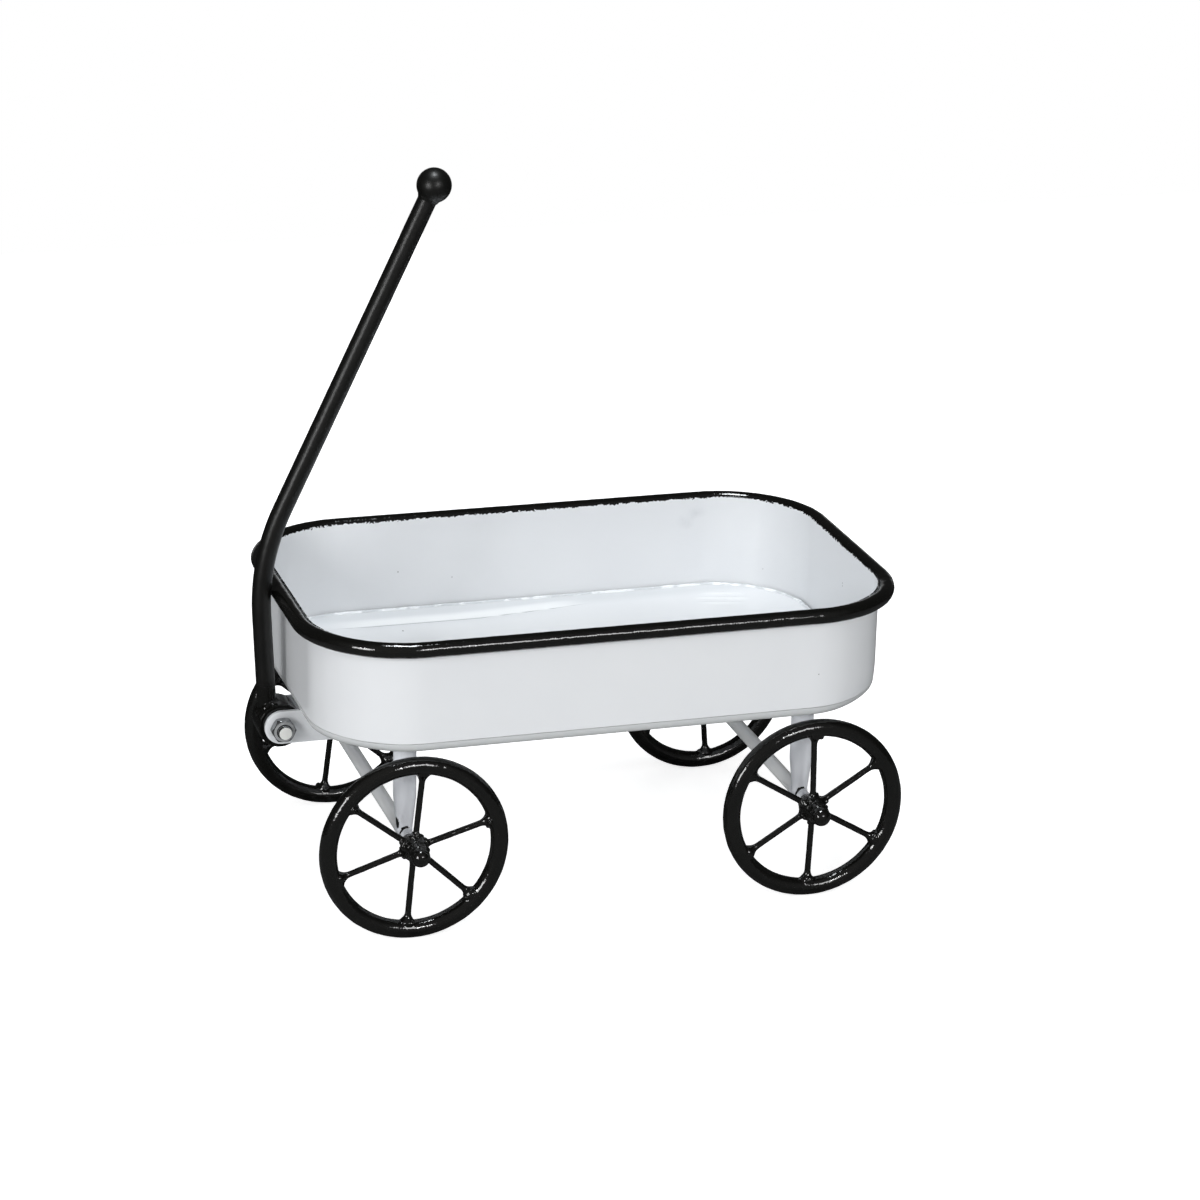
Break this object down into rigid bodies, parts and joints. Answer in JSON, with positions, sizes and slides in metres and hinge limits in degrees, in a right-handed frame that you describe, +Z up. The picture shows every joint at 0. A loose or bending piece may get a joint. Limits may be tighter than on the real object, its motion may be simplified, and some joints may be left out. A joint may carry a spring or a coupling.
{
  "type": "hand cart",
  "caption": "Small pull cart: a rounded white sheet-steel tray with a black bar rim on wire-spoked wheels, with a hinged bent pull handle that ends in a ball knob.",
  "frame": {"origin": "on the ground, under the middle of the whole outline at rest", "axes": "+X towards the handle end, +Y to the cart's left, +Z up"},
  "size_m": [0.3708, 0.2434, 0.4222],
  "materials": {
    "white_enamel": "glossy white enamel paint",
    "black_enamel": "glossy black enamel paint",
    "zinc_plate": "bright zinc plate",
    "bare_steel": "drawn steel rod"
  },
  "bodies": {
    "cart": {"tray_wall": "white_enamel", "tray_floor": "white_enamel", "floor_bead": "white_enamel", "front_axle_tube": "white_enamel", "rear_axle_tube": "white_enamel", "left_hinge_ear": "white_enamel", "right_hinge_ear": "white_enamel", "front_left_leg": "white_enamel", "front_right_leg": "white_enamel", "rear_left_leg": "white_enamel", "rear_right_leg": "white_enamel", "rim_hoop": "black_enamel", "front_left_washer": "black_enamel", "front_left_cap_nut": "black_enamel", "front_right_washer": "black_enamel", "front_right_cap_nut": "black_enamel", "rear_left_washer": "black_enamel", "rear_left_cap_nut": "black_enamel", "rear_right_washer": "black_enamel", "rear_right_cap_nut": "black_enamel", "hinge_bolt": "zinc_plate", "hinge_nut": "zinc_plate", "front_axle": "bare_steel", "rear_axle": "bare_steel"},
    "handle": {"handle_eye": "black_enamel", "handle_rod": "black_enamel", "handle_knob": "black_enamel"},
    "front_left_wheel": {"front_left_wheel_ring": "black_enamel", "front_left_wheel_spokes": "black_enamel", "front_left_wheel_hub": "black_enamel"},
    "front_right_wheel": {"front_right_wheel_ring": "black_enamel", "front_right_wheel_spokes": "black_enamel", "front_right_wheel_hub": "black_enamel"},
    "rear_left_wheel": {"rear_left_wheel_ring": "black_enamel", "rear_left_wheel_spokes": "black_enamel", "rear_left_wheel_hub": "black_enamel"},
    "rear_right_wheel": {"rear_right_wheel_ring": "black_enamel", "rear_right_wheel_spokes": "black_enamel", "rear_right_wheel_hub": "black_enamel"}
  },
  "joints": [
    {"name": "handle_swing", "type": "hinge", "parent": "cart", "child": "handle", "pos_m": [0.17099, 0, 0.09885], "axis": [0, 1, 0], "range_deg": [0, 121]},
    {"name": "front_left_wheel_spin", "type": "hinge", "parent": "cart", "child": "front_left_wheel", "pos_m": [0.11452, 0.1018, 0.05485], "axis": [0, 1, 0], "continuous": true},
    {"name": "front_right_wheel_spin", "type": "hinge", "parent": "cart", "child": "front_right_wheel", "pos_m": [0.11452, -0.1018, 0.05485], "axis": [0, 1, 0], "continuous": true},
    {"name": "rear_left_wheel_spin", "type": "hinge", "parent": "cart", "child": "rear_left_wheel", "pos_m": [-0.12538, 0.1018, 0.05485], "axis": [0, 1, 0], "continuous": true},
    {"name": "rear_right_wheel_spin", "type": "hinge", "parent": "cart", "child": "rear_right_wheel", "pos_m": [-0.12538, -0.1018, 0.05485], "axis": [0, 1, 0], "continuous": true}
  ]
}
